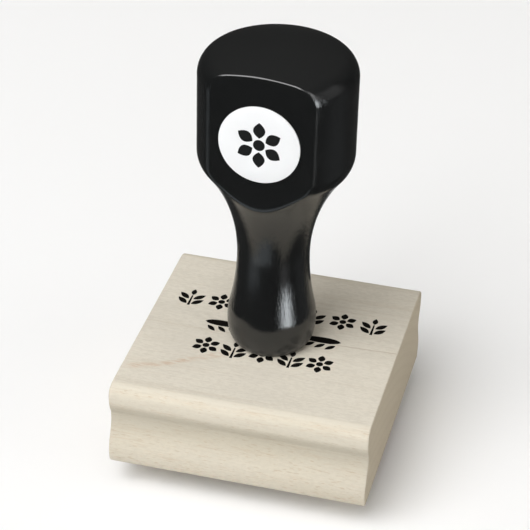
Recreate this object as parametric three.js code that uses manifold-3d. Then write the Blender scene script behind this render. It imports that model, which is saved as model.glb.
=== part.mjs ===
// A wood-mounted rubber stamp with a turned, lacquered knob handle.
// Millimetres, +Z up. The origin is the centre of the printing face, so the stamp stands
// on z = 0 with its handle axis on Z, its front at -Y and the moulding running along X.
import * as THREE from 'three';
import { mergeVertices } from 'three/addons/utils/BufferGeometryUtils.js';
import Module from 'manifold-3d';

const wasm = await Module();
wasm.setup();

// Printing stack, from the face that carries the ink up to the wood
const RELIEF = 1.0;             // raised artwork on the rubber
const DIE_BASE = 1.25;          // rubber sheet behind the relief
const FILM = 0.25;              // each adhesive film
const FOAM = 3.0;               // cushion
const DIE_LENGTH = 50;          // along X
const DIE_DEPTH = 27;           // along Y
const DIE_CORNER = 1.0;
const ART_Y = 1.0;              // artwork, die and cushion sit a little behind the middle
const DIE_TOP = RELIEF + DIE_BASE;
const FOAM_FLOOR = DIE_TOP + FILM;
const FOAM_TOP = FOAM_FLOOR + FOAM;
const WOOD_FLOOR = FOAM_TOP + FILM;

// Wood mount: one moulding cut to length
const WOOD_LENGTH = 55;
const WOOD_HEIGHT = 19;
const WOOD_TOP = WOOD_FLOOR + WOOD_HEIGHT;
const BASE_HALF = 27.0;         // half depth where the profile meets the flat underside
const BULGE_HALF = 28.25;       // half depth at the lower bulge
const GROOVE_HALF = 26.3;       // half depth at the bottom of the groove
const CREASE_HALF = 26.45;      // half depth where the bead's underside meets the groove
const BEAD_HALF = 27.65;        // half depth at the bead
const FLAT_HALF = 25.1;         // half depth of the planed top
const BULGE_Z = 3.4;            // heights above the underside
const GROOVE_Z = 10.4;
const CREASE_Z = 12.1;
const BEAD_Z = 16.2;

// Handle, heights above the wood: a chain of tangent arcs
const HANDLE_HEIGHT = 69.5;
const HEAD_R = 16.125;
const DOME_R = 43.5;
const SHOULDER_R = 4.6;
const CORNER_R = 6.2;           // under the head
const NECK_R = 7.6;
const NECK_Z = 21.6;
const NECK_UPPER_ARC = 34;
const NECK_LOWER_ARC = 54.5;
const BULB_R = 9.42;
const BULB_ARC = 16;
const FOOT_ARC = 5;             // under the bulb
const FOOT_TURN = 0.2;          // radians below the widest point, where the foot arc starts
const HANDLE_SIDES = 44;
const FLAT_Y = 11.75;           // front flat, from the axis
const LABEL_R = 8.4;
const LABEL_THICK = 0.25;
const LABEL_Z = 53.25;          // above the wood
const HANDLE_TURN = -Math.PI / 60;  // the flat and the label stand 3 degrees off the front

// Countersunk wood screw, driven up through the mount into the handle
const SCREW_LENGTH = 32;
const SCREW_R = 2.1;
const SCREW_HEAD_R = 4.0;
const SCREW_RIM = 0.3;
const SCREW_TIP = 5;
const SCREW_RECESS = 0.5;       // head face above the underside of the wood
const CLEARANCE = 0.3;
const SCREW_SIDES = 24;
const SCREW_FLOOR = WOOD_FLOOR + SCREW_RECESS;

const group = new THREE.Group();

function material(color, roughness, metalness = 0) {
  return new THREE.MeshStandardMaterial({ color, roughness, metalness });
}

function addPart(name, geometry, look) {
  const mesh = new THREE.Mesh(geometry, look);
  mesh.name = name;
  group.add(mesh);
  return mesh;
}

// Closed geometry to a solid: shared corners are merged and collapsed triangles dropped.
function toSolid(geometry) {
  const bare = geometry.clone();
  bare.deleteAttribute('normal');
  bare.deleteAttribute('uv');
  const merged = mergeVertices(bare, 1e-4);
  const index = Array.from(merged.index.array);
  const triangles = [];
  for (let i = 0; i < index.length; i += 3) {
    const [a, b, c] = index.slice(i, i + 3);
    if (a !== b && b !== c && c !== a) triangles.push(a, b, c);
  }
  return new wasm.Manifold(new wasm.Mesh({
    numProp: 3,
    vertProperties: new Float32Array(merged.attributes.position.array),
    triVerts: new Uint32Array(triangles),
  }));
}

function toGeometry(solid) {
  const mesh = solid.getMesh();
  const geometry = new THREE.BufferGeometry();
  geometry.setAttribute('position', new THREE.BufferAttribute(new Float32Array(mesh.vertProperties), 3));
  geometry.setIndex(new THREE.BufferAttribute(new Uint32Array(mesh.triVerts), 1));
  return geometry;
}

// A turned solid about Z from a profile of [radius, height] that starts and ends on the axis.
function turned(profile, sides) {
  const points = profile.map(([radius, height]) => new THREE.Vector2(radius, height));
  return new THREE.LatheGeometry(points, sides).rotateX(Math.PI / 2);
}

function arc(centreR, centreZ, radius, from, to, steps) {
  const points = [];
  for (let i = 0; i <= steps; i += 1) {
    const angle = from + ((to - from) * i) / steps;
    points.push([centreR + radius * Math.cos(angle), centreZ + radius * Math.sin(angle)]);
  }
  return points;
}

function slab(shape, height, floor) {
  const geometry = new THREE.ExtrudeGeometry(shape, { depth: height, bevelEnabled: false, curveSegments: 5 });
  return geometry.translate(0, ART_Y, floor);
}

function dieOutline() {
  const x = DIE_LENGTH / 2;
  const y = DIE_DEPTH / 2;
  const r = DIE_CORNER;
  const shape = new THREE.Shape();
  shape.moveTo(-x + r, -y);
  shape.lineTo(x - r, -y);
  shape.absarc(x - r, -y + r, r, -Math.PI / 2, 0);
  shape.absarc(x - r, y - r, r, 0, Math.PI / 2);
  shape.absarc(-x + r, y - r, r, Math.PI / 2, Math.PI);
  shape.absarc(-x + r, -y + r, r, Math.PI, 1.5 * Math.PI);
  return shape;
}

// Artwork: plain leaves and flowers, mirror-symmetric in X, so the print reads the same
// as the die. Positions are from the centre of the artwork.
function leaf(x, y, angle, length, width, belly = 0.45) {
  const along = new THREE.Vector2(Math.cos(angle), Math.sin(angle));
  const across = new THREE.Vector2(-along.y, along.x).multiplyScalar(width);
  const base = new THREE.Vector2(x, y);
  const tip = base.clone().addScaledVector(along, length);
  const middle = base.clone().addScaledVector(along, length * belly);
  const shape = new THREE.Shape();
  shape.moveTo(base.x, base.y);
  shape.quadraticCurveTo(middle.x - across.x, middle.y - across.y, tip.x, tip.y);
  shape.quadraticCurveTo(middle.x + across.x, middle.y + across.y, base.x, base.y);
  return shape;
}

function disc(x, y, radius) {
  const shape = new THREE.Shape();
  shape.absarc(x, y, radius, 0, 2 * Math.PI);
  return shape;
}

function stem(x, low, high, width) {
  const shape = new THREE.Shape();
  shape.moveTo(x - width / 2, low);
  shape.lineTo(x + width / 2, low);
  shape.lineTo(x + width / 4, high);
  shape.lineTo(x - width / 4, high);
  return shape;
}

const UNIT_HEIGHT = 6.2;        // flowers and sprigs
const PETALS = 6;
const SPRAY_REACH = 15;         // outer end of each spray, from the middle
const LEAFLET_LEAN = 0.85;      // radians off the stem

function flower(x, y) {
  const start = 0.95;           // petals begin clear of the eye
  const eyeR = 0.75;
  const petalWidth = 1.55;
  const shapes = [disc(x, y, eyeR)];
  for (let i = 0; i < PETALS; i += 1) {
    const angle = Math.PI / 2 + (i * 2 * Math.PI) / PETALS;
    const length = UNIT_HEIGHT / 2 - start;
    const petalX = x + start * Math.cos(angle);
    const petalY = y + start * Math.sin(angle);
    shapes.push(leaf(petalX, petalY, angle, length, petalWidth));
  }
  return shapes;
}

function sprig(x, y) {
  const low = y - UNIT_HEIGHT / 2;
  const stemHeight = 3.8;
  const tipLeaf = { length: 2.2, width: 1.2 };
  const sideLeaf = { length: 3.1, width: 1.35, gap: 0.5 };
  const shapes = [stem(x, low, low + stemHeight, 0.6)];
  shapes.push(leaf(x, low + UNIT_HEIGHT - tipLeaf.length, Math.PI / 2, tipLeaf.length, tipLeaf.width));
  for (const side of [-1, 1]) {
    for (const rise of [0.5, 2.4]) {
      const angle = Math.PI / 2 - side * LEAFLET_LEAN;
      const leafX = x + side * sideLeaf.gap;
      shapes.push(leaf(leafX, low + rise, angle, sideLeaf.length, sideLeaf.width));
    }
  }
  return shapes;
}

// A long brushed leaf with leaflets hanging from it, one on each side of the middle
function spray(side, y) {
  const towardMiddle = side > 0 ? Math.PI : 0;
  const brush = { length: 12, width: 2.1, belly: 0.12, rise: 1.4 };
  const leaflet = { count: 4, pitch: 2.3, inset: 0.9, climb: 0.12, length: 2.7, width: 1.1 };
  const shapes = [
    leaf(side * SPRAY_REACH, y + brush.rise, towardMiddle, brush.length, brush.width, brush.belly),
  ];
  for (let i = 0; i < leaflet.count; i += 1) {
    const x = side * (SPRAY_REACH - leaflet.inset - leaflet.pitch * i);
    const angle = -Math.PI / 2 - side * LEAFLET_LEAN;
    shapes.push(leaf(x, y + leaflet.climb * i, angle, leaflet.length, leaflet.width));
  }
  return shapes;
}

// A row of flowers and sprigs by turns, with a flower in the middle
function row(reach, pitch, y) {
  const shapes = [];
  for (let i = -reach; i <= reach; i += 1) {
    const unit = i % 2 === 0 ? flower : sprig;
    shapes.push(...unit(i * pitch, y));
  }
  return shapes;
}

function artwork() {
  const sprayY = -0.9;
  return [
    ...row(3, 6.8, 8.35),
    ...spray(-1, sprayY),
    ...spray(1, sprayY),
    ...row(2, 6.2, -8.25),
  ];
}

function rubberDie() {
  const sink = 0.5;             // how far each raised shape runs into the sheet
  let solid = toSolid(slab(dieOutline(), DIE_BASE, RELIEF));
  for (const shape of artwork()) {
    solid = solid.add(toSolid(slab(shape, RELIEF + sink, 0)));
  }
  addPart('rubber_die', toGeometry(solid), material(0x8d4a3a, 0.6));
}

function cushionStack() {
  const film = material(0xd9d6c8, 0.35);
  addPart('die_film', slab(dieOutline(), FILM, DIE_TOP), film);
  addPart('foam_cushion', slab(dieOutline(), FOAM, FOAM_FLOOR), material(0x4b4d50, 0.95));
  addPart('mount_film', slab(dieOutline(), FILM, FOAM_TOP), film.clone());
}

// The moulding's outline across its length: up one side, over the top and down the other
function mouldingOutline() {
  const swell = 2.6;            // how far each curve leaves straight up or down
  // half depth and height: two control points and an end for each curve
  const curves = [
    [[BASE_HALF + 0.8, 0], [BULGE_HALF, BULGE_Z - 2.2], [BULGE_HALF, BULGE_Z]],
    [[BULGE_HALF, BULGE_Z + swell], [GROOVE_HALF, GROOVE_Z - swell], [GROOVE_HALF, GROOVE_Z]],
    [[GROOVE_HALF, GROOVE_Z + 0.7], [CREASE_HALF - 0.1, CREASE_Z - 0.6], [CREASE_HALF, CREASE_Z]],
    [[CREASE_HALF + 0.5, CREASE_Z + 0.8], [BEAD_HALF, BEAD_Z - 1.8], [BEAD_HALF, BEAD_Z]],
    [[BEAD_HALF, BEAD_Z + 1.9], [FLAT_HALF + 1.9, WOOD_HEIGHT - 0.4], [FLAT_HALF, WOOD_HEIGHT]],
  ];
  const shape = new THREE.Shape();
  shape.moveTo(-BASE_HALF, 0);
  shape.lineTo(BASE_HALF, 0);
  for (const [first, second, end] of curves) {
    shape.bezierCurveTo(...first, ...second, ...end);
  }
  shape.lineTo(-FLAT_HALF, WOOD_HEIGHT);
  const mirrored = ([half, height]) => [-half, height];
  const starts = [[BASE_HALF, 0], ...curves.map((curve) => curve[2])];
  for (let i = curves.length - 1; i >= 0; i -= 1) {
    const [first, second] = curves[i];
    shape.bezierCurveTo(...mirrored(second), ...mirrored(first), ...mirrored(starts[i]));
  }
  return shape;
}

function woodMount() {
  const moulding = new THREE.ExtrudeGeometry(mouldingOutline(), {
    depth: WOOD_LENGTH,
    bevelEnabled: false,
    curveSegments: 7,
  });
  moulding.translate(0, 0, -WOOD_LENGTH / 2);
  // the outline's x runs along Y, its y along Z, and the moulding along X
  moulding.applyMatrix4(new THREE.Matrix4().makeBasis(
    new THREE.Vector3(0, 1, 0),
    new THREE.Vector3(0, 0, 1),
    new THREE.Vector3(1, 0, 0),
  ));
  moulding.translate(0, 0, WOOD_FLOOR);
  const sinkR = SCREW_HEAD_R + 0.4;
  const holeR = SCREW_R + CLEARANCE;
  const coneFloor = SCREW_FLOOR + SCREW_RIM + 0.1;
  const past = 1;               // how far the cutter runs out of the wood
  const hole = turned([
    [0, WOOD_FLOOR - past],
    [sinkR, WOOD_FLOOR - past],
    [sinkR, coneFloor],
    [holeR, coneFloor + sinkR - holeR],
    [holeR, WOOD_TOP + past],
    [0, WOOD_TOP + past],
  ], SCREW_SIDES);
  addPart('wood_mount', toGeometry(toSolid(moulding).subtract(toSolid(hole))), material(0xe3dac8, 0.62));
}

// Angle from one arc's centre to the other's: tangent arcs meet on that line.
function bearing(fromR, fromZ, toR, toZ) {
  return Math.atan2(toZ - fromZ, toR - fromR);
}

function handleProfile() {
  const domeZ = HANDLE_HEIGHT - DOME_R;
  const shoulderR = HEAD_R - SHOULDER_R;
  const shoulderZ = domeZ + Math.sqrt((DOME_R - SHOULDER_R) ** 2 - shoulderR ** 2);
  const domeRim = bearing(0, domeZ, shoulderR, shoulderZ);
  const cornerR = HEAD_R - CORNER_R;
  const upperR = NECK_R + NECK_UPPER_ARC;
  const cornerZ = NECK_Z + Math.sqrt((NECK_UPPER_ARC + CORNER_R) ** 2 - (upperR - cornerR) ** 2);
  const cornerEnd = bearing(cornerR, cornerZ, upperR, NECK_Z);
  const bulbCentreR = BULB_R - BULB_ARC;
  const lowerR = NECK_R + NECK_LOWER_ARC;
  const bulbZ = NECK_Z - Math.sqrt((NECK_LOWER_ARC + BULB_ARC) ** 2 - (lowerR - bulbCentreR) ** 2);
  const bulbStart = bearing(bulbCentreR, bulbZ, lowerR, NECK_Z);
  const footCentreR = bulbCentreR + (BULB_ARC - FOOT_ARC) * Math.cos(FOOT_TURN);
  const footCentreZ = bulbZ - (BULB_ARC - FOOT_ARC) * Math.sin(FOOT_TURN);
  const footAngle = -Math.asin(footCentreZ / FOOT_ARC);
  return [
    [0, 0],
    ...arc(footCentreR, footCentreZ, FOOT_ARC, footAngle, -FOOT_TURN, 4),
    ...arc(bulbCentreR, bulbZ, BULB_ARC, -FOOT_TURN, bulbStart, 6).slice(1),
    ...arc(lowerR, NECK_Z, NECK_LOWER_ARC, bulbStart + Math.PI, Math.PI, 4).slice(1),
    ...arc(upperR, NECK_Z, NECK_UPPER_ARC, Math.PI, cornerEnd + Math.PI, 7).slice(1),
    ...arc(cornerR, cornerZ, CORNER_R, cornerEnd, 0, 5).slice(1),
    ...arc(shoulderR, shoulderZ, SHOULDER_R, 0, domeRim, 6),
    ...arc(0, domeZ, DOME_R, domeRim, Math.PI / 2, 4).slice(1, -1),
    [0, HANDLE_HEIGHT],
  ];
}

function handle() {
  const pilotR = SCREW_R + CLEARANCE;
  const pilotTop = SCREW_FLOOR + SCREW_LENGTH + 1.5 - WOOD_TOP;
  const blank = turned(handleProfile(), HANDLE_SIDES);
  const cutDepth = 20;
  const frontCut = new THREE.BoxGeometry(3 * HEAD_R, cutDepth, 3 * HANDLE_HEIGHT)
    .translate(0, -FLAT_Y - cutDepth / 2, 0);
  const pilot = turned([[0, -1], [pilotR, -1], [pilotR, pilotTop], [0, pilotTop]], SCREW_SIDES);
  const solid = toSolid(blank).subtract(toSolid(frontCut)).subtract(toSolid(pilot));
  const mesh = addPart('handle', toGeometry(solid), material(0x101112, 0.16));
  mesh.position.z = WOOD_TOP;
  mesh.rotation.z = HANDLE_TURN;
}

function handleLabel() {
  const label = new THREE.CylinderGeometry(LABEL_R, LABEL_R, LABEL_THICK, 48);
  label.translate(0, -FLAT_Y - LABEL_THICK / 2, WOOD_TOP + LABEL_Z);
  const mesh = addPart('handle_label', label, material(0xf4f7fb, 0.4));
  mesh.rotation.z = HANDLE_TURN;
}

function handleScrew() {
  const coneTop = SCREW_RIM + SCREW_HEAD_R - SCREW_R;
  const tipR = 0.4;
  const slotSize = [4.6, 0.9, 3.0];
  const blank = turned([
    [0, 0],
    [SCREW_HEAD_R, 0],
    [SCREW_HEAD_R, SCREW_RIM],
    [SCREW_R, coneTop],
    [SCREW_R, SCREW_LENGTH - SCREW_TIP],
    [tipR, SCREW_LENGTH],
    [0, SCREW_LENGTH],
  ], SCREW_SIDES);
  let solid = toSolid(blank);
  for (const turn of [0, Math.PI / 2]) {
    const slot = new THREE.BoxGeometry(...slotSize).rotateZ(turn);
    solid = solid.subtract(toSolid(slot));
  }
  const mesh = addPart('handle_screw', toGeometry(solid), material(0xb9b4a6, 0.35, 0.9));
  mesh.position.z = SCREW_FLOOR;
}

rubberDie();
cushionStack();
woodMount();
handle();
handleLabel();
handleScrew();

export default group;
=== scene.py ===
"""Looks of a wood-mounted rubber stamp with a turned, lacquered knob handle."""

import math

import bmesh
import bpy
import numpy as np
from mathutils import Matrix, Vector


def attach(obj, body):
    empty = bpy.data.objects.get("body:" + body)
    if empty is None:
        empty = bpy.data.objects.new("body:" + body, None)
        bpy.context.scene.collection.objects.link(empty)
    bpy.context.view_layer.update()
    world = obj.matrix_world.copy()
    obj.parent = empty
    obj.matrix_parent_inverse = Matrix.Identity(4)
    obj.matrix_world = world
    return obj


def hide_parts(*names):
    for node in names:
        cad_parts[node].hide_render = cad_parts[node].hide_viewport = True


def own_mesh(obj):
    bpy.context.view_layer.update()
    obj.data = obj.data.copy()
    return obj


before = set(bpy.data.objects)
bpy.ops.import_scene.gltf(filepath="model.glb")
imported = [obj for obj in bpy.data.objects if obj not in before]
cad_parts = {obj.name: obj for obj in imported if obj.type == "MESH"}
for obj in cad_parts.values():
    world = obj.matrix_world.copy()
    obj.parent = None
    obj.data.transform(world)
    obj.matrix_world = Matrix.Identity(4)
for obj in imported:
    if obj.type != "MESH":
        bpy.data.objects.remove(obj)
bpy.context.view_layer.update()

MM = 0.001
TAU = 2 * math.pi

# Sizes in millimetres, as in the CAD
RELIEF = 1.0
DIE_BASE = 1.25
FILM = 0.25
FOAM = 3.0
DIE_TOP = RELIEF + DIE_BASE
DIE_LENGTH = 50.0
DIE_DEPTH = 27.0
DIE_CORNER = 1.0
ART_Y = 1.0
FOAM_FLOOR = DIE_TOP + FILM
FOAM_TOP = FOAM_FLOOR + FOAM
WOOD_FLOOR = FOAM_TOP + FILM
WOOD_LENGTH = 55.0
WOOD_HEIGHT = 19.0
WOOD_TOP = WOOD_FLOOR + WOOD_HEIGHT
BASE_HALF = 27.0
BULGE_HALF = 28.25
GROOVE_HALF = 26.3
CREASE_HALF = 26.45
BEAD_HALF = 27.65
FLAT_HALF = 25.1
BULGE_Z = 3.4
GROOVE_Z = 10.4
CREASE_Z = 12.1
BEAD_Z = 16.2
HANDLE_HEIGHT = 69.5
HEAD_R = 16.125
DOME_R = 43.5
SHOULDER_R = 4.6
CORNER_R = 6.2
NECK_R = 7.6
NECK_Z = 21.6
NECK_UPPER_ARC = 34.0
NECK_LOWER_ARC = 54.5
BULB_R = 9.42
BULB_ARC = 16.0
FOOT_ARC = 5.0
FOOT_TURN = 0.2
FLAT_Y = 11.75
LABEL_R = 8.4
LABEL_THICK = 0.25
LABEL_Z = WOOD_TOP + 53.25
HANDLE_TURN = -math.pi / 60     # the flat and the label stand 3 degrees off the front
SCREW_R = 2.1
SCREW_HEAD_R = 4.0
SCREW_RECESS = 0.5
CLEARANCE = 0.3
SCREW_FLOOR = WOOD_FLOOR + SCREW_RECESS
SCREW_LENGTH = 32.0

# Artwork
UNIT_HEIGHT = 6.2               # a flower or a sprig
PETALS = 6
SPRAY_REACH = 15.0              # from the middle to the tip of a spray
LEAFLET_LEAN = 0.85
MARK_SCALE = 1.62               # the label's flower, against the printed ones
ART_FILM = 0.02                 # half the thickness of the printed layer
MARK_FILM = 0.015
FOOT_CLEAR = 6.4                # what lies wholly under the handle's foot isn't printed

# Visual meshes
HANDLE_SIDES = 288
LABEL_SIDES = 128
BORE_SIDES = 48
HEAD_FLOOR = WOOD_TOP + 30      # the flat lies wholly above this height
FLAT_EASING = 0.55

# Camera, fitted to the photographed mount: degrees and millimetres
CAMERA_ELEVATION = 33.0685
CAMERA_AZIMUTH = 13.897
CAMERA_ROLL = 1.4689
CAMERA_AIM_Z = 5.75
CAMERA_DISTANCE = 452.80
CAMERA_LEFT = 1.693
CAMERA_RAISED = 30.996
LENS = 140.47

CARD_RADIUS = 3000.0            # of the panels around the stamp
FLOOR_HALF = 3000.0
FLOOR_LEVEL = -0.02             # a hair under the printing face


# ---------------------------------------------------------------- camera

def add_camera():
    elevation = math.radians(CAMERA_ELEVATION)
    azimuth = math.radians(CAMERA_AZIMUTH)
    roll = math.radians(CAMERA_ROLL)
    back = Vector((
        math.sin(azimuth) * math.cos(elevation),
        -math.cos(azimuth) * math.cos(elevation),
        math.sin(elevation),
    ))
    right = Vector((math.cos(azimuth), math.sin(azimuth), 0))
    up = back.cross(right)
    aim = Vector((0, 0, CAMERA_AIM_Z))
    place = aim + back * CAMERA_DISTANCE - right * CAMERA_LEFT + up * CAMERA_RAISED
    across = right * math.cos(roll) + up * math.sin(roll)
    upright = up * math.cos(roll) - right * math.sin(roll)
    turn = Matrix((across, upright, back)).transposed()
    data = bpy.data.cameras.new("camera")
    data.lens = LENS
    data.sensor_width = 36
    data.clip_start = 0.01
    data.clip_end = 50
    camera = bpy.data.objects.new("camera", data)
    camera.matrix_world = Matrix.Translation(place * MM) @ turn.to_4x4()
    bpy.context.scene.collection.objects.link(camera)
    bpy.context.scene.camera = camera


# ---------------------------------------------------------------- meshes

def make_object(name, points, faces, smooth_below=None):
    """A mesh object from points in millimetres. Edges over smooth_below degrees stay crisp."""
    mesh = bpy.data.meshes.new(name)
    mesh.from_pydata((np.asarray(points, float) * MM).tolist(), [], faces)
    mesh.validate()
    if smooth_below is not None:
        mesh.shade_smooth()
        mesh.set_sharp_from_angle(angle=math.radians(smooth_below))
    obj = bpy.data.objects.new(name, mesh)
    bpy.context.scene.collection.objects.link(obj)
    return obj


def face_outwards(obj):
    work = bmesh.new()
    work.from_mesh(obj.data)
    bmesh.ops.recalc_face_normals(work, faces=work.faces)
    work.to_mesh(obj.data)
    work.free()


def place(obj, body, material, slot, *nodes):
    obj.data.materials.clear()
    obj.data.materials.append(material)
    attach(obj, body)
    if nodes:
        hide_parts(*nodes)
    return obj


def paint(node, material):
    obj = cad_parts[node]
    obj.data.materials.clear()
    obj.data.materials.append(material)


def arc(centre, radius, start, end, step):
    count = max(2, math.ceil(abs(end - start) * radius / step))
    angles = np.linspace(start, end, count + 1)
    return np.column_stack([
        centre[0] + radius * np.cos(angles),
        centre[1] + radius * np.sin(angles),
    ])


def bezier(start, first, second, end, count):
    t = np.linspace(0, 1, count + 1)[:, None]
    start, first, second, end = (np.asarray(p, float) for p in (start, first, second, end))
    return (
        start * (1 - t) ** 3
        + 3 * first * t * (1 - t) ** 2
        + 3 * second * t ** 2 * (1 - t)
        + end * t ** 3
    )


def rings_to_faces(rings, count):
    """Quads between rings of count points each, numbered one ring after the other."""
    faces = []
    for ring in range(rings - 1):
        low, high = ring * count, (ring + 1) * count
        for i in range(count):
            j = (i + 1) % count
            faces.append((low + i, low + j, high + j, high + i))
    return faces


def lathe(profile, sides):
    """Points and faces of a turned solid; the profile starts and ends on the axis."""
    angles = np.arange(sides) * TAU / sides
    middle = profile[1:-1]
    ring = np.column_stack([np.cos(angles), np.sin(angles)])
    points = np.empty((len(middle), sides, 3))
    points[:, :, :2] = middle[:, None, :1] * ring[None]
    points[:, :, 2] = middle[:, 1, None]
    points = points.reshape(-1, 3)
    faces = rings_to_faces(len(middle), sides)
    foot, apex = len(points), len(points) + 1
    last = (len(middle) - 1) * sides
    for i in range(sides):
        j = (i + 1) % sides
        faces.append((foot, j, i))
        faces.append((apex, last + i, last + j))
    ends = [[0, 0, profile[0][1]], [0, 0, profile[-1][1]]]
    return np.vstack([points, ends]), faces


# ---------------------------------------------------------------- handle

def handle_profile():
    """[radius, height] from the screw hole's end, down the hole, out and up to the apex."""
    dome_z = HANDLE_HEIGHT - DOME_R
    shoulder = (HEAD_R - SHOULDER_R,
                dome_z + math.sqrt((DOME_R - SHOULDER_R) ** 2 - (HEAD_R - SHOULDER_R) ** 2))
    rim = math.atan2(shoulder[1] - dome_z, shoulder[0])
    upper = (NECK_R + NECK_UPPER_ARC, NECK_Z)
    lower = (NECK_R + NECK_LOWER_ARC, NECK_Z)
    corner_r = HEAD_R - CORNER_R
    corner = (corner_r,
              NECK_Z + math.sqrt((NECK_UPPER_ARC + CORNER_R) ** 2 - (upper[0] - corner_r) ** 2))
    corner_end = math.atan2(upper[1] - corner[1], upper[0] - corner[0])
    bulb_r = BULB_R - BULB_ARC
    bulb = (bulb_r, NECK_Z - math.sqrt((NECK_LOWER_ARC + BULB_ARC) ** 2 - (lower[0] - bulb_r) ** 2))
    bulb_start = math.atan2(lower[1] - bulb[1], lower[0] - bulb[0])
    foot = (bulb[0] + (BULB_ARC - FOOT_ARC) * math.cos(FOOT_TURN),
            bulb[1] - (BULB_ARC - FOOT_ARC) * math.sin(FOOT_TURN))
    outside = np.vstack([
        arc(foot, FOOT_ARC, -math.asin(foot[1] / FOOT_ARC), -FOOT_TURN, 0.3),
        arc(bulb, BULB_ARC, -FOOT_TURN, bulb_start, 0.4)[1:],
        arc(lower, NECK_LOWER_ARC, bulb_start + math.pi, math.pi, 0.5)[1:],
        arc(upper, NECK_UPPER_ARC, math.pi, corner_end + math.pi, 0.45)[1:],
        arc(corner, CORNER_R, corner_end, 0, 0.3)[1:],
        arc(shoulder, SHOULDER_R, 0, rim, 0.2),
        arc((0, dome_z), DOME_R, rim, math.pi / 2, 0.3)[1:],
    ])
    # short steps up the straight side of the head, between the corner and the shoulder
    side_from, side_to = corner[1], shoulder[1]
    heights = np.linspace(side_from, side_to, 24)[1:-1]
    side = np.column_stack([np.full(len(heights), HEAD_R), heights])
    top_of_corner = int(np.argmin(np.abs(outside[:, 1] - side_from)
                                  + np.abs(outside[:, 0] - HEAD_R) * 10))
    outside = np.vstack([outside[:top_of_corner + 1], side, outside[top_of_corner + 1:]])
    outside = outside + [0, WOOD_TOP]
    outside[-1, 0] = 0
    hole_r = SCREW_R + CLEARANCE
    hole_top = SCREW_FLOOR + SCREW_LENGTH + 1.5
    easing = 0.25               # the foot's edge is sanded
    foot_r = outside[0, 0]
    hole = np.array([
        [0, hole_top],
        [hole_r - 0.2, hole_top],
        [hole_r, hole_top - 0.2],
        [hole_r, WOOD_TOP + 0.2],
        [hole_r + 0.2, WOOD_TOP],
        [foot_r - easing, WOOD_TOP],
        [foot_r - easing / 4, WOOD_TOP + easing / 4],
    ])
    return np.vstack([hole, outside[1:]]), outside


def turned_on_screw(points):
    """Points on the handle, turned with it about its axis."""
    points = np.asarray(points, float)
    c, s = math.cos(HANDLE_TURN), math.sin(HANDLE_TURN)
    x, y = points[:, 0], points[:, 1]
    return np.column_stack([x * c - y * s, x * s + y * c, points[:, 2]])


def distance_to_turned(points, outline):
    """Signed distance from each point to the turned surface, negative inside, and the way out."""
    flat = np.column_stack([np.hypot(points[:, 0], points[:, 1]), points[:, 2]])
    starts, ends = outline[:-1], outline[1:]
    along = ends - starts
    square = (along ** 2).sum(1)
    share = ((flat[:, None] - starts[None]) * along[None]).sum(2) / square
    share = np.clip(share, 0, 1)
    nearest = starts[None] + share[..., None] * along[None]
    gap = np.linalg.norm(flat[:, None] - nearest, axis=2)
    pick = gap.argmin(1)
    rows = np.arange(len(points))
    out = np.column_stack([along[:, 1], -along[:, 0]]) / np.sqrt(square)[:, None]
    out = out[pick]
    side = ((flat - nearest[rows, pick]) * out).sum(1)
    distance = np.where(side < 0, -gap[rows, pick], gap[rows, pick])
    ring = points[:, :2] / flat[:, :1]
    return distance, np.column_stack([ring * out[:, :1], out[:, 1]])


def soften_flat_edge(points, outline, widest):
    """Eases the edge between the flat and the turned surface, over widest millimetres each way
    at the top and less at the foot of the flat."""
    for _ in range(4):
        near = np.flatnonzero(
            (points[:, 1] < -FLAT_Y + 2 * widest) & (points[:, 2] > HEAD_FLOOR)
        )
        blend = np.interp(points[near, 2] - WOOD_TOP, (42, 48), (0.6 * widest, widest))
        turned, turned_out = distance_to_turned(points[near], outline)
        flat = -FLAT_Y - points[near, 1]
        overlap = np.clip(blend - np.abs(turned - flat), 0, None) / blend
        level = np.maximum(turned, flat) + overlap ** 2 * blend / 4
        weight = np.clip(0.5 + 0.5 * (turned - flat) / blend, 0, 1)[:, None]
        slope = weight * turned_out + (1 - weight) * np.array([0, -1.0, 0])
        step = np.where(overlap > 0, level, 0)[:, None]
        points[near] -= step * slope / (slope ** 2).sum(1)[:, None]
    return points


def build_handle(material):
    profile, outline = handle_profile()
    points, faces = lathe(profile, HANDLE_SIDES)
    head = points[:, 2] > HEAD_FLOOR
    points[head, 1] = np.maximum(points[head, 1], -FLAT_Y)
    points = soften_flat_edge(points, outline, FLAT_EASING)
    obj = make_object("knob_handle", turned_on_screw(points), faces, 50)
    return place(obj, "mount", material, "black_lacquer", "handle")


# ---------------------------------------------------------------- wood mount

def moulding_outline(count=16):
    swell = 2.6
    curves = [
        [(BASE_HALF, 0), (BASE_HALF + 0.8, 0), (BULGE_HALF, BULGE_Z - 2.2), (BULGE_HALF, BULGE_Z)],
        [(BULGE_HALF, BULGE_Z), (BULGE_HALF, BULGE_Z + swell),
         (GROOVE_HALF, GROOVE_Z - swell), (GROOVE_HALF, GROOVE_Z)],
        [(GROOVE_HALF, GROOVE_Z), (GROOVE_HALF, GROOVE_Z + 0.7),
         (CREASE_HALF - 0.1, CREASE_Z - 0.6), (CREASE_HALF, CREASE_Z)],
        [(CREASE_HALF, CREASE_Z), (CREASE_HALF + 0.5, CREASE_Z + 0.8),
         (BEAD_HALF, BEAD_Z - 1.8), (BEAD_HALF, BEAD_Z)],
        [(BEAD_HALF, BEAD_Z), (BEAD_HALF, BEAD_Z + 1.9),
         (FLAT_HALF + 1.9, WOOD_HEIGHT - 0.4), (FLAT_HALF, WOOD_HEIGHT)],
    ]
    half = np.vstack([bezier(*curve, count)[:-1] for curve in curves])
    # a second point close inside the planed top's edge keeps the shading of the edge narrow
    half = np.vstack([half, [curves[-1][-1]], [(FLAT_HALF - 0.12, WOOD_HEIGHT)]])
    outline = np.vstack([half, half[::-1] * [-1, 1]])
    return outline + [0, WOOD_FLOOR]


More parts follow.
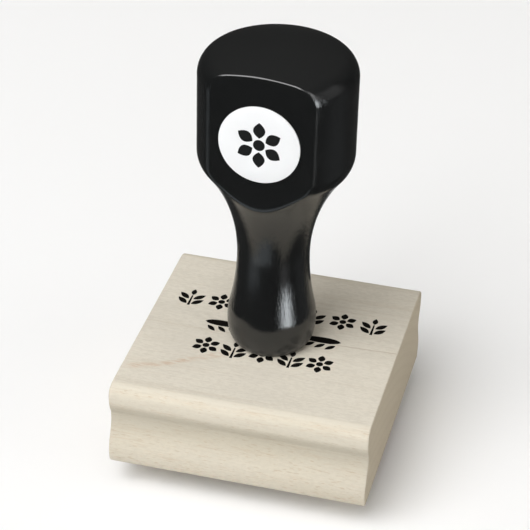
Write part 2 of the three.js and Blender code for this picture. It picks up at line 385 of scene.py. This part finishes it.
def inset(outline, amount):
    """A closed outline moved inwards by amount, corner by corner."""
    before = outline - np.roll(outline, 1, axis=0)
    after = np.roll(outline, -1, axis=0) - outline
    normals = []
    for edge in (before, after):
        unit = edge / np.linalg.norm(edge, axis=1)[:, None]
        normals.append(np.column_stack([-unit[:, 1], unit[:, 0]]))
    total = normals[0] + normals[1]
    square = (total ** 2).sum(1)
    return outline + total * (2 * amount / np.clip(square, 0.8, None))[:, None]


def bored(obj, cutter):
    """obj with the cutter's shape taken out of it."""
    cut = obj.modifiers.new("bore", "BOOLEAN")
    cut.operation = "DIFFERENCE"
    cut.solver = "EXACT"
    cut.object = cutter
    depsgraph = bpy.context.evaluated_depsgraph_get()
    mesh = bpy.data.meshes.new_from_object(obj.evaluated_get(depsgraph))
    obj.modifiers.clear()
    obj.data = mesh
    bpy.data.objects.remove(cutter)
    return obj


def build_wood(material):
    outline = moulding_outline()
    easing = 0.35
    steps = 4
    sections = []
    for i in range(steps, -1, -1):
        angle = i / steps * math.pi / 2
        sections.append((
            -WOOD_LENGTH / 2 + easing * (1 - math.sin(angle)),
            easing * (1 - math.cos(angle)),
        ))
    sections.insert(0, (-WOOD_LENGTH / 2, easing + 0.15))
    sections += [(-x, depth) for x, depth in reversed(sections)]
    points = []
    for x, depth in sections:
        ring = inset(outline, depth)
        points += [[x, y, z] for y, z in ring]
    count = len(outline)
    faces = rings_to_faces(len(sections), count)
    faces.append(tuple(range(count))[::-1])
    faces.append(tuple(range((len(sections) - 1) * count, len(sections) * count)))
    obj = make_object("moulded_mount", points, faces)
    face_outwards(obj)

    sink_r = SCREW_HEAD_R + 0.4
    hole_r = SCREW_R + CLEARANCE
    cone_floor = SCREW_FLOOR + 0.4
    hole_points, hole_faces = lathe(np.array([
        [0, WOOD_FLOOR - 1],
        [sink_r, WOOD_FLOOR - 1],
        [sink_r, cone_floor],
        [hole_r, cone_floor + sink_r - hole_r],
        [hole_r, WOOD_TOP + 1],
        [0, WOOD_TOP + 1],
    ]), BORE_SIDES)
    cutter = make_object("screw_bore", hole_points, hole_faces)
    face_outwards(cutter)
    obj = bored(obj, cutter)
    obj.data.shade_smooth()
    obj.data.set_sharp_from_angle(angle=math.radians(32))
    return place(obj, "mount", material, "maple", "wood_mount")


# ---------------------------------------------------------------- artwork

def quadratic(start, control, end, count=8):
    t = np.linspace(0, 1, count + 1)[:-1, None]
    return start * (1 - t) ** 2 + 2 * control * t * (1 - t) + end * t ** 2


def leaf(x, y, angle, length, width, belly=0.45):
    along = np.array([math.cos(angle), math.sin(angle)])
    across = np.array([-along[1], along[0]]) * width
    base = np.array([x, y], float)
    tip = base + along * length
    middle = base + along * length * belly
    return np.vstack([quadratic(base, middle - across, tip), quadratic(tip, middle + across, base)])


def disc(x, y, radius, count=24):
    angles = np.arange(count) * TAU / count
    return np.column_stack([x + radius * np.cos(angles), y + radius * np.sin(angles)])


def stem(x, low, high, width):
    return np.array([
        [x - width / 2, low], [x + width / 2, low], [x + width / 4, high], [x - width / 4, high],
    ])


def flower(x, y, scale=1.0):
    start = 0.95 * scale
    shapes = [disc(x, y, 0.75 * scale)]
    for i in range(PETALS):
        angle = math.pi / 2 + i * TAU / PETALS
        shapes.append(leaf(
            x + start * math.cos(angle),
            y + start * math.sin(angle),
            angle,
            UNIT_HEIGHT / 2 * scale - start,
            1.55 * scale,
        ))
    return shapes


def sprig(x, y):
    low = y - UNIT_HEIGHT / 2
    shapes = [stem(x, low, low + 3.8, 0.6), leaf(x, low + 4.0, math.pi / 2, 2.2, 1.2)]
    for side in (-1, 1):
        for rise in (0.5, 2.4):
            angle = math.pi / 2 - side * LEAFLET_LEAN
            shapes.append(leaf(x + side * 0.5, low + rise, angle, 3.1, 1.35))
    return shapes


def spray(side, y):
    toward_middle = math.pi if side > 0 else 0
    shapes = [leaf(side * SPRAY_REACH, y + 1.4, toward_middle, 12, 2.1, 0.12)]
    for i in range(4):
        x = side * (SPRAY_REACH - 0.9 - 2.3 * i)
        shapes.append(leaf(x, y + 0.12 * i, -math.pi / 2 - side * LEAFLET_LEAN, 2.7, 1.1))
    return shapes


def row(reach, pitch, y):
    shapes = []
    for i in range(-reach, reach + 1):
        shapes += (flower if i % 2 == 0 else sprig)(i * pitch, y)
    return shapes


def artwork():
    shapes = row(3, 6.8, 8.35) + spray(-1, -0.9) + spray(1, -0.9) + row(2, 6.2, -8.25)
    return [shape + [0, ART_Y] for shape in shapes]


def prism(rings):
    """Points and faces of a closed solid lofted through [(outline, height), ...]."""
    count = len(rings[0][0])
    points = [[x, y, z] for outline, z in rings for x, y in outline]
    faces = rings_to_faces(len(rings), count)
    faces.append(tuple(range(count))[::-1])
    faces.append(tuple(range((len(rings) - 1) * count, len(rings) * count)))
    return points, faces


def joined(solids):
    points, faces = [], []
    for solid_points, solid_faces in solids:
        start = len(points)
        points += list(solid_points)
        faces += [tuple(start + i for i in face) for face in solid_faces]
    return points, faces


def build_print(material):
    """The artwork printed on the wood, as an index of what the stamp prints."""
    solids = []
    for shape in artwork():
        if np.hypot(shape[:, 0], shape[:, 1]).max() > FOOT_CLEAR:
            solids.append(prism([(shape, WOOD_TOP - ART_FILM), (shape, WOOD_TOP + ART_FILM)]))
    obj = make_object("index_print", *joined(solids))
    face_outwards(obj)
    obj.visible_glossy = False
    obj.visible_shadow = False
    return place(obj, "mount", material, "black_ink")


# ---------------------------------------------------------------- label

def build_label(material):
    soft = 0.08
    profile = np.array([
        [0, 0],
        [LABEL_R, 0],
        [LABEL_R, LABEL_THICK - soft],
        [LABEL_R - soft * 0.3, LABEL_THICK - soft * 0.3],
        [LABEL_R - soft, LABEL_THICK],
        [LABEL_R * 0.6, LABEL_THICK],
        [0, LABEL_THICK],
    ])
    points, faces = lathe(profile, LABEL_SIDES)
    # the disc's axis turns from Z to -Y
    points = np.column_stack([points[:, 0], -FLAT_Y - points[:, 2], LABEL_Z + points[:, 1]])
    obj = make_object("round_label", turned_on_screw(points), faces, 40)
    face_outwards(obj)
    return place(obj, "mount", material, "white_vinyl", "handle_label")


def build_label_mark(material):
    """A plain flower from the artwork, printed on the label."""
    face = FLAT_Y + LABEL_THICK
    solids = []
    for shape in flower(0, 0, MARK_SCALE):
        points, faces = prism([(shape, -MARK_FILM), (shape, MARK_FILM)])
        solids.append(([[x, -face - z, LABEL_Z + y] for x, y, z in points], faces))
    points, faces = joined(solids)
    obj = make_object("label_mark", turned_on_screw(points), faces)
    face_outwards(obj)
    return place(obj, "mount", material, "black_ink")


# ---------------------------------------------------------------- printing stack

def rounded_rectangle(half_x, half_y, radius, count=8):
    points = []
    for cx, cy, start in ((1, -1, -0.25), (1, 1, 0), (-1, 1, 0.25), (-1, -1, 0.5)):
        for angle in np.linspace(start * TAU, (start + 0.25) * TAU, count + 1):
            points.append([
                cx * (half_x - radius) + radius * math.cos(angle),
                cy * (half_y - radius) + radius * math.sin(angle) + ART_Y,
            ])
    return np.array(points)


def build_foam(material):
    """Cut foam: its sides draw in a little between the two glued faces."""
    back = 0.05                 # from the sheet's edge
    rings = []
    for share in np.linspace(0, 1, 9):
        waist = 0.22 * math.sin(math.pi * share) ** 0.8
        half = (DIE_LENGTH / 2 - back - waist, DIE_DEPTH / 2 - back - waist)
        rings.append((rounded_rectangle(*half, DIE_CORNER), FOAM_FLOOR + share * FOAM))
    obj = make_object("cushion_foam", *prism(rings), 50)
    face_outwards(obj)
    obj.data.set_sharp_from_angle(angle=math.radians(50))
    place(obj, "mount", material, "foam", "foam_cushion")
    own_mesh(obj)
    return obj


def grown(outline, amount):
    return inset(outline, -amount)


def build_rubber(material):
    """The die: a sheet with eased edges, and raised shapes with spreading flanks."""
    ease = 0.15
    half = (DIE_LENGTH / 2, DIE_DEPTH / 2)
    rings = []
    for back, z in ((ease, RELIEF), (0, RELIEF + ease), (0, DIE_TOP)):
        rings.append((rounded_rectangle(half[0] - back, half[1] - back, DIE_CORNER - back), z))
    solids = [prism(rings)]
    for shape in artwork():
        solids.append(prism([
            (shape, 0),
            (grown(shape, 0.05), 0.3 * RELIEF),
            (grown(shape, 0.28), RELIEF + 0.1),
        ]))
    obj = make_object("relief_die", *joined(solids), 40)
    face_outwards(obj)
    return place(obj, "die", material, "die_rubber", "rubber_die")


# ---------------------------------------------------------------- materials

class Graph:
    """A material's nodes, around its Principled shader."""

    def __init__(self, name):
        self.material = bpy.data.materials.new(name)
        self.material.use_nodes = True
        self.nodes = self.material.node_tree.nodes
        self.links = self.material.node_tree.links
        self.shader = self.nodes["Principled BSDF"]

    def node(self, kind, inputs=None, **settings):
        made = self.nodes.new(kind)
        for key, value in settings.items():
            setattr(made, key, value)
        for socket, value in (inputs or {}).items():
            self.feed(made, socket, value)
        return made

    def feed(self, node, socket, value):
        if isinstance(value, bpy.types.NodeSocket):
            self.links.new(value, node.inputs[socket])
        else:
            node.inputs[socket].default_value = value

    def set(self, **sockets):
        names = {
            "color": "Base Color", "roughness": "Roughness", "normal": "Normal",
            "metallic": "Metallic", "ior": "IOR", "specular": "Specular IOR Level",
        }
        for key, value in sockets.items():
            self.feed(self.shader, names[key], value)

    def place(self, scale=(1, 1, 1), move=(0, 0, 0)):
        """Object coordinates in millimetres, stretched by scale."""
        where = self.node("ShaderNodeTexCoord").outputs["Object"]
        factors = tuple(s / MM for s in scale)
        return self.node("ShaderNodeMapping", {
            "Vector": where, "Scale": factors, "Location": move,
        }).outputs["Vector"]

    def noise(self, vector, scale=1.0, detail=3.0, roughness=0.5, distortion=0.0):
        return self.node("ShaderNodeTexNoise", {
            "Vector": vector, "Scale": scale, "Detail": detail,
            "Roughness": roughness, "Distortion": distortion,
        }).outputs["Fac"]

    def math(self, operation, a, b=None, c=None):
        made = self.node("ShaderNodeMath", operation=operation)
        for index, value in enumerate((a, b, c)):
            if value is not None:
                self.feed(made, index, value)
        return made.outputs[0]

    def times(self, a, b):
        return self.math("MULTIPLY", a, b)

    def plus(self, a, b):
        return self.math("ADD", a, b)

    def minus(self, a, b):
        return self.math("SUBTRACT", a, b)

    def inverse(self, share):
        return self.math("SUBTRACT", 1.0, share)

    def size(self, value):
        return self.math("ABSOLUTE", value)

    def range(self, value, low, high, to_low=0.0, to_high=1.0):
        """value from low..high to to_low..to_high, eased at both ends and held beyond them."""
        return self.node("ShaderNodeMapRange", {
            "Value": value, "From Min": low, "From Max": high, "To Min": to_low, "To Max": to_high,
        }, interpolation_type="SMOOTHSTEP").outputs["Result"]

    def mix(self, share, a, b):
        made = self.node("ShaderNodeMix", data_type="RGBA")
        self.feed(made, 0, share)
        for socket, value in ((6, a), (7, b)):
            if not isinstance(value, bpy.types.NodeSocket) and len(value) == 3:
                value = (*value, 1)
            self.feed(made, socket, value)
        return made.outputs[2]

    def bump(self, height, strength, distance, onto=None):
        inputs = {"Height": height, "Strength": strength, "Distance": distance * MM}
        if onto is not None:
            inputs["Normal"] = onto
        return self.node("ShaderNodeBump", inputs).outputs["Normal"]

    def split(self, vector):
        made = self.node("ShaderNodeSeparateXYZ", {"Vector": vector})
        return made.outputs[0], made.outputs[1], made.outputs[2]


def lacquer():
    g = Graph("black_lacquer")
    fibre = g.noise(g.place((3.6, 3.6, 0.34)), 1.0, 3.0, 0.6)
    ripple = g.noise(g.place((0.30, 0.30, 0.06)), 1.0, 2.0)
    normal = g.node("ShaderNodeNewGeometry").outputs["Normal"]
    upright = g.range(g.size(g.split(normal)[2]), 0.25, 0.75, 1.0, 0.12)
    dust = g.noise(g.place((6, 6, 6)), 1.0, 2.0)
    tint = g.noise(g.place((0.1, 0.1, 0.1)), 1.0, 2.0)
    # the flat front is sanded smoother than the turned surface
    front = g.times(g.split(normal)[1], -1.0)
    flat = g.times(g.range(front, 0.985, 0.998), g.range(g.split(g.place())[2], 60, 68))
    depth = g.times(upright, g.math("MULTIPLY_ADD", flat, -0.85, 1.0))
    g.set(
        color=g.mix(tint, (0.0058, 0.0066, 0.0070), (0.0088, 0.0094, 0.0094)),
        roughness=g.range(dust, 0.3, 0.8, 0.08, 0.15),
        ior=1.55,
        normal=g.bump(fibre, depth, 0.056, g.bump(ripple, 0.5, 0.10)),
    )
    return g.material


def maple():
    """Pale maple, its grain along X: plain lines on the planed top, warmer flecks on the moulded
    sides, and ring arcs on the sawn ends."""
    g = Graph("maple")
    where = g.place()
    x, y, z = g.split(where)
    normal = g.node("ShaderNodeNewGeometry").outputs["Normal"]
    nx, _, nz = g.split(normal)
    end = g.range(g.size(nx), 0.75, 0.95)
    within_flat = g.range(g.size(y), FLAT_HALF - 0.4, FLAT_HALF - 0.1, 1.0, 0.0)
    planed = g.times(g.range(nz, 0.90, 0.96), within_flat)

    broad = g.noise(g.place((0.012, 0.10, 0.14), move=(3, 1, 7)), 1.0, 3.0, 0.55)
    lines = g.noise(g.place((0.02, 0.9, 1.1)), 1.0, 4.0, 0.6, 0.2)
    fibre = g.noise(g.place((0.16, 5.0, 5.0)), 1.0, 3.0, 0.6)
    fleck = g.noise(g.place((0.55, 3.4, 3.4), move=(11, 5, 2)), 1.0, 2.0, 0.5)
    cloud = g.noise(g.place((0.05, 0.07, 0.07), move=(5, 9, 1)), 1.0, 2.0)

    top = g.mix(g.range(broad, 0.3, 0.7), (0.708, 0.662, 0.570), (0.754, 0.706, 0.610))
    side = g.mix(g.range(broad, 0.3, 0.7), (0.618, 0.560, 0.452), (0.664, 0.610, 0.505))
    body = g.mix(planed, side, top)
    moulded = g.inverse(planed)
    body = g.mix(g.range(lines, 0.52, 0.75, 0.0, 0.35), body, (0.560, 0.475, 0.360))
    # warm, slightly wavy veins where the moulding cuts across the grain
    vein = g.noise(g.place((0.045, 1.5, 1.7), move=(1, 4, 6)), 1.0, 3.0, 0.6, 0.4)
    thin = g.range(g.size(g.minus(vein, 0.52)), 0.006, 0.030, 1.0, 0.0)
    broken = g.range(g.noise(g.place((0.11, 0.5, 0.5), move=(7, 2, 9)), 1.0, 2.0), 0.45, 0.62)
    veins = g.times(g.times(thin, broken), moulded)
    body = g.mix(g.times(veins, 0.42), body, (0.520, 0.370, 0.230))
    body = g.mix(g.range(fibre, 0.45, 0.75, 0.0, 0.22), body, (0.545, 0.480, 0.390))
    flecks = g.times(g.range(fleck, 0.58, 0.72), g.inverse(g.times(planed, 0.8)))
    body = g.mix(g.times(flecks, 0.62), body, (0.470, 0.345, 0.215))
    weave = g.noise(g.place((0.9, 2.2, 2.2), move=(2, 8, 4)), 1.0, 2.0, 0.6)
    body = g.mix(g.range(weave, 0.38, 0.66, 0.0, 0.22), body, (0.470, 0.430, 0.350))
    body = g.mix(g.range(cloud, 0.45, 0.7, 0.0, 0.25), body, (0.600, 0.560, 0.490))
    # painted highlight: the bead is lightened where it leaves the flat and where it turns under, by
    # which way its surface faces
    height = g.minus(z, WOOD_FLOOR + CREASE_Z)
    bead_top_painted_highlight = g.times(g.range(nz, 0.86, 0.95, 0.0, 0.55), moulded)
    bead_under_painted_highlight = g.times(g.range(nz, 0.35, 0.65, 0.30, 0.0), g.range(height, 2.0, 3.2))
    body = g.mix(g.plus(bead_top_painted_highlight, bead_under_painted_highlight), body, (0.770, 0.724, 0.622))
    # painted shade: grey-olive darkening around the crease under the bead, fading down the face
    fading = g.plus(g.range(height, -9.5, -3.0, 0.0, 0.30), g.range(height, -3.0, 0.6, 0.0, 0.08))
    crease_painted_shade = g.times(fading, g.range(height, 1.2, 3.0, 1.0, 0.0))
    body = g.mix(crease_painted_shade, body, (0.400, 0.370, 0.290))

    # a pink-brown mineral streak across the top's front left, and a fine line towards the right end
    wander = g.math("MULTIPLY_ADD", g.noise(g.place((0.16, 0.16, 0.05)), 1.0, 3.0, 0.6), 2.0, -1.0)
    bend = g.times(g.math("MAXIMUM", g.plus(x, 20.0), 0.0), 0.27)
    centre = g.plus(g.math("MULTIPLY_ADD", x, 0.35, -9.6), bend)
    across = g.minus(g.plus(y, wander), centre)
    band = g.range(g.size(across), 0.2, 1.5, 1.0, 0.0)
    reach = g.times(g.range(x, -28.0, -24.0), g.range(x, -14.0, 1.0, 1.0, 0.0))
    grit = g.range(g.noise(g.place((0.35, 2.6, 1.0)), 1.0, 3.0, 0.65), 0.36, 0.66)
    streak = g.times(g.times(band, reach), g.times(grit, planed))
    body = g.mix(g.times(streak, 0.66), body, (0.575, 0.400, 0.265))
    line = g.minus(g.math("MULTIPLY_ADD", wander, 0.25, y), g.math("MULTIPLY_ADD", x, 0.045, -0.22))
    fine = g.times(g.range(g.size(line), 0.04, 0.24, 1.0, 0.0), g.range(x, 12.0, 17.0))
    body = g.mix(g.times(g.times(fine, planed), 0.55), body, (0.430, 0.340, 0.250))

    # sawn ends: growth rings around a pith well below the block, and fine pores
    ring_y = g.plus(y, 34.0)
    ring_z = g.plus(z, 62.0)
    radius = g.math("SQRT", g.plus(g.times(ring_y, ring_y), g.times(ring_z, ring_z)))
    ring_wander = g.noise(g.place((0.05, 0.08, 0.08)), 1.0, 2.0)
    phase = g.math("MULTIPLY_ADD", ring_wander, 5.0, g.times(radius, 2.4))
    rings = g.range(g.math("SINE", phase), -0.2, 1.0)
    pores = g.noise(g.place((2.5, 4.5, 4.5)), 1.0, 2.0, 0.6)
    sawn = g.mix(g.times(rings, 0.25), (0.590, 0.512, 0.385), (0.520, 0.440, 0.318))
    sawn = g.mix(g.range(pores, 0.5, 0.8, 0.0, 0.30), sawn, (0.460, 0.385, 0.275))
    g.set(
        color=g.mix(end, body, sawn),
        roughness=g.range(fibre, 0.2, 0.8, 0.52, 0.68),
        specular=0.35,
        normal=g.bump(pores, 0.12, 0.04, g.bump(fibre, 0.22, 0.05)),
    )
    return g.material


def ink(name, darkest, lightest, specular):
    g = Graph(name)
    mottle = g.noise(g.place((2.2, 2.2, 2.2)), 1.0, 3.0, 0.6)
    g.set(
        color=g.mix(mottle, darkest, lightest),
        roughness=g.range(mottle, 0.3, 0.7, 0.60, 0.75),
        specular=specular,
        normal=g.bump(mottle, 0.15, 0.02),
    )
    return g.material


def vinyl():
    g = Graph("label_vinyl")
    cloud = g.noise(g.place((0.2, 0.2, 0.2)), 1.0, 2.0)
    peel = g.noise(g.place((3, 3, 3)), 1.0, 2.0)
    g.set(
        color=g.mix(cloud, (0.850, 0.866, 0.882), (0.880, 0.892, 0.908)),
        roughness=g.range(peel, 0.3, 0.7, 0.32, 0.42),
        normal=g.bump(peel, 0.08, 0.02),
    )
    return g.material


def foam():
    g = Graph("cell_foam")
    bubbles = g.node("ShaderNodeTexVoronoi", {"Vector": g.place((5, 5, 5)), "Scale": 1.0})
    cells = bubbles.outputs["Distance"]
    tone = g.noise(g.place((0.6, 0.6, 0.6)), 1.0, 3.0)
    walls = g.mix(tone, (0.085, 0.087, 0.092), (0.115, 0.117, 0.122))
    g.set(
        color=g.mix(g.times(cells, 0.8), (0.030, 0.031, 0.033), walls),
        roughness=0.9,
        normal=g.bump(cells, 0.6, 0.08),
    )
    return g.material


def rubber():
    g = Graph("die_rubber")
    tone = g.noise(g.place((0.12, 0.12, 0.12)), 1.0, 3.0)
    grain = g.noise(g.place((4, 4, 4)), 1.0, 3.0, 0.6)
    g.set(
        color=g.mix(tone, (0.255, 0.072, 0.050), (0.315, 0.098, 0.068)),
        roughness=g.range(grain, 0.3, 0.7, 0.52, 0.66),
        specular=0.4,
        normal=g.bump(grain, 0.2, 0.03),
    )
    return g.material


def adhesive():
    g = Graph("adhesive_film")
    tone = g.noise(g.place((0.4, 0.4, 2.0)), 1.0, 3.0)
    g.set(
        color=g.mix(tone, (0.600, 0.585, 0.520), (0.690, 0.675, 0.610)),
        roughness=g.range(tone, 0.3, 0.7, 0.28, 0.40),
        normal=g.bump(tone, 0.1, 0.03),
    )
    return g.material


def steel():
    g = Graph("zinc_plated_steel")
    turned = g.noise(g.place((0.4, 0.4, 6.0)), 1.0, 3.0)
    bloom = g.noise(g.place((0.9, 0.9, 0.9)), 1.0, 3.0)
    g.set(
        color=g.mix(bloom, (0.560, 0.550, 0.520), (0.660, 0.645, 0.600)),
        metallic=1.0,
        roughness=g.range(bloom, 0.3, 0.7, 0.24, 0.38),
        normal=g.bump(turned, 0.2, 0.03),
    )
    return g.material


def paper():
    g = Graph("studio_floor")
    tone = g.noise(g.place((0.02, 0.02, 0.02)), 1.0, 2.0)
    g.set(
        color=g.mix(tone, (0.950, 0.956, 0.968), (0.958, 0.964, 0.976)),
        roughness=0.9,
        specular=0.1,
    )
    return g.material


# ---------------------------------------------------------------- studio

def add_floor():
    corners = ((-1, -1), (1, -1), (1, 1), (-1, 1))
    points = [[x * FLOOR_HALF, y * FLOOR_HALF, FLOOR_LEVEL] for x, y in corners]
    floor = make_object("floor", points, [(0, 1, 2, 3)])
    floor.data.materials.append(paper())
    floor.visible_glossy = False


def add_softbox(name, azimuth, elevation, distance, size, power, color=(1, 1, 1)):
    """A soft light, aimed at the stamp, that lights surfaces but doesn't mirror in the lacquer."""
    data = bpy.data.lights.new(name, "AREA")
    data.shape = "RECTANGLE"
    data.size, data.size_y = size
    data.energy = power
    data.color = color
    light = bpy.data.objects.new(name, data)
    way = direction(azimuth, elevation)
    target = Vector((0, 0, 0.04))
    turn = way.to_track_quat("Z", "Y").to_matrix().to_4x4()
    light.matrix_world = Matrix.Translation(target + way * distance) @ turn
    light.visible_glossy = False
    light.visible_camera = False
    bpy.context.scene.collection.objects.link(light)


def direction(azimuth, elevation):
    """A unit vector; azimuth 0 is the front, -Y, and 90 is the right, +X."""
    a, e = math.radians(azimuth), math.radians(elevation)
    return Vector((math.sin(a) * math.cos(e), -math.cos(a) * math.cos(e), math.sin(e)))


def glow(name, strength, color):
    """Adds light where its fade attribute says, and is clear, so that panels can overlap."""
    material = bpy.data.materials.new(name)
    material.use_nodes = True
    nodes, links = material.node_tree.nodes, material.node_tree.links
    nodes.clear()
    output = nodes.new("ShaderNodeOutputMaterial")
    emission = nodes.new("ShaderNodeEmission")
    emission.inputs["Color"].default_value = (*color, 1)
    clear = nodes.new("ShaderNodeBsdfTransparent")
    both = nodes.new("ShaderNodeAddShader")
    edge = nodes.new("ShaderNodeAttribute")
    edge.attribute_name = "fade"
    gain = nodes.new("ShaderNodeMath")
    gain.operation = "MULTIPLY"
    gain.inputs[1].default_value = strength
    links.new(edge.outputs["Fac"], gain.inputs[0])
    links.new(gain.outputs[0], emission.inputs["Strength"])
    links.new(emission.outputs[0], both.inputs[0])
    links.new(clear.outputs[0], both.inputs[1])
    links.new(both.outputs[0], output.inputs["Surface"])
    return material


def eased(distance, width):
    share = min(max(distance / width, 0), 1) if width else 1
    return share * share * (3 - 2 * share)


def add_card(
    name, azimuths, elevations, strength, color=(1, 1, 1), soft=(5, 5, 5), seen_by="glossy"
):
    """A glowing panel that one kind of ray sees: "glossy", "diffuse" or "camera". soft: degrees
    over which it fades in from its sides, its lower edge and its upper edge."""
    count = 24
    sides, low, high = soft
    points, fades = [], []
    for elevation in np.linspace(*elevations, count + 1):
        for azimuth in np.linspace(*azimuths, count + 1):
            points.append(direction(azimuth, elevation) * CARD_RADIUS + Vector((0, 0, 50)))
            fades.append(
                eased(min(azimuth - azimuths[0], azimuths[1] - azimuth), sides)
                * eased(elevation - elevations[0], low)
                * eased(elevations[1] - elevation, high)
            )
    faces = []
    for r in range(count):
        for c in range(count):
            corner = r * (count + 1) + c
            faces.append((corner, corner + 1, corner + count + 2, corner + count + 1))
    card = make_object(name, points, faces)
    layer = card.data.attributes.new("fade", "FLOAT", "POINT")
    layer.data.foreach_set("value", fades)
    card.data.materials.append(glow(name, strength, color))
    card.visible_camera = seen_by == "camera"
    card.visible_glossy = seen_by == "glossy"
    card.visible_diffuse = seen_by == "diffuse"
    card.visible_shadow = False
    card.visible_transmission = False


def add_studio():
    scene = bpy.context.scene
    world = bpy.data.worlds.new("studio")
    world.use_nodes = True
    world.node_tree.nodes["Background"].inputs["Color"].default_value = (1.0, 0.985, 0.96, 1)
    world.node_tree.nodes["Background"].inputs["Strength"].default_value = 0.05
    scene.world = world
    scene.view_settings.view_transform = "Standard"
    scene.view_settings.look = "None"
    add_floor()
    add_softbox("key", -32, 52, 2.5, (2.0, 2.0), 56)
    add_softbox("overhead", 30, 80, 2.5, (2.6, 2.6), 18, (1.0, 0.98, 0.94))
    add_softbox("fill", 10, 15, 2.5, (2.0, 1.0), 5)
    add_softbox("right_fill", 80, 22, 2.5, (2.0, 1.2), 7, (1.0, 0.955, 0.89))
    add_card(
        "room_light", (0, 360), (3, 90), 0.12, (1.0, 0.955, 0.87), soft=(0, 3, 0), seen_by="diffuse"
    )
    # a pale surround, above the floor's edge in low views
    add_card("backdrop", (0, 360), (-1, 90), 0.62, soft=(0, 0, 0), seen_by="camera")
    # panels seen in the lacquer
    add_card("bright_strip", (41.5, 65.5), (-26.5, 12), 12.0, (0.94, 1.0, 1.03), soft=(5, 8, 10))
    add_card("edge_glow", (38, 62), (-40, -22), 0.5, soft=(6, 5, 6))
    add_card("upper_strip", (36, 71), (0, 60), 2.8, soft=(8, 20, 25))
    add_card("front_panel", (-88, 30), (32, 78), 7.4, soft=(22, 10, 12))
    add_card("dim_panel", (-60, 8), (-62, -34), 0.68, (0.85, 0.94, 1.0), soft=(2, 5, 5))
    add_card("dim_corner", (-66, -28), (-42, -20), 0.44, (0.85, 0.94, 1.0), soft=(4, 4, 8))
    add_card("side_panel", (72, 118), (-12, 45), 0.4, soft=(10, 18, 18))
    add_card("low_side_panel", (84, 128), (-42, -6), 0.10, (0.9, 0.96, 1.0), soft=(8, 8, 8))
    add_card("ceiling", (0, 360), (0, 90), 0.165, (1.0, 0.98, 0.95), soft=(0, 75, 0))
    add_card("back_panel", (180, 208), (-46, -18), 0.9, soft=(8, 8, 8))


# ---------------------------------------------------------------- assembly

add_camera()
add_studio()
wood = maple()
film = adhesive()
build_handle(lacquer())
build_wood(wood)
build_print(ink("printed_ink", (0.0008, 0.0007, 0.0006), (0.0048, 0.0040, 0.0030), 0.06))
build_label(vinyl())
build_label_mark(ink("label_ink", (0.0050, 0.0056, 0.0058), (0.0090, 0.0096, 0.0098), 0.15))
build_foam(foam())
build_rubber(rubber())
paint("mount_film", film)
paint("die_film", film)
paint("handle_screw", steel())
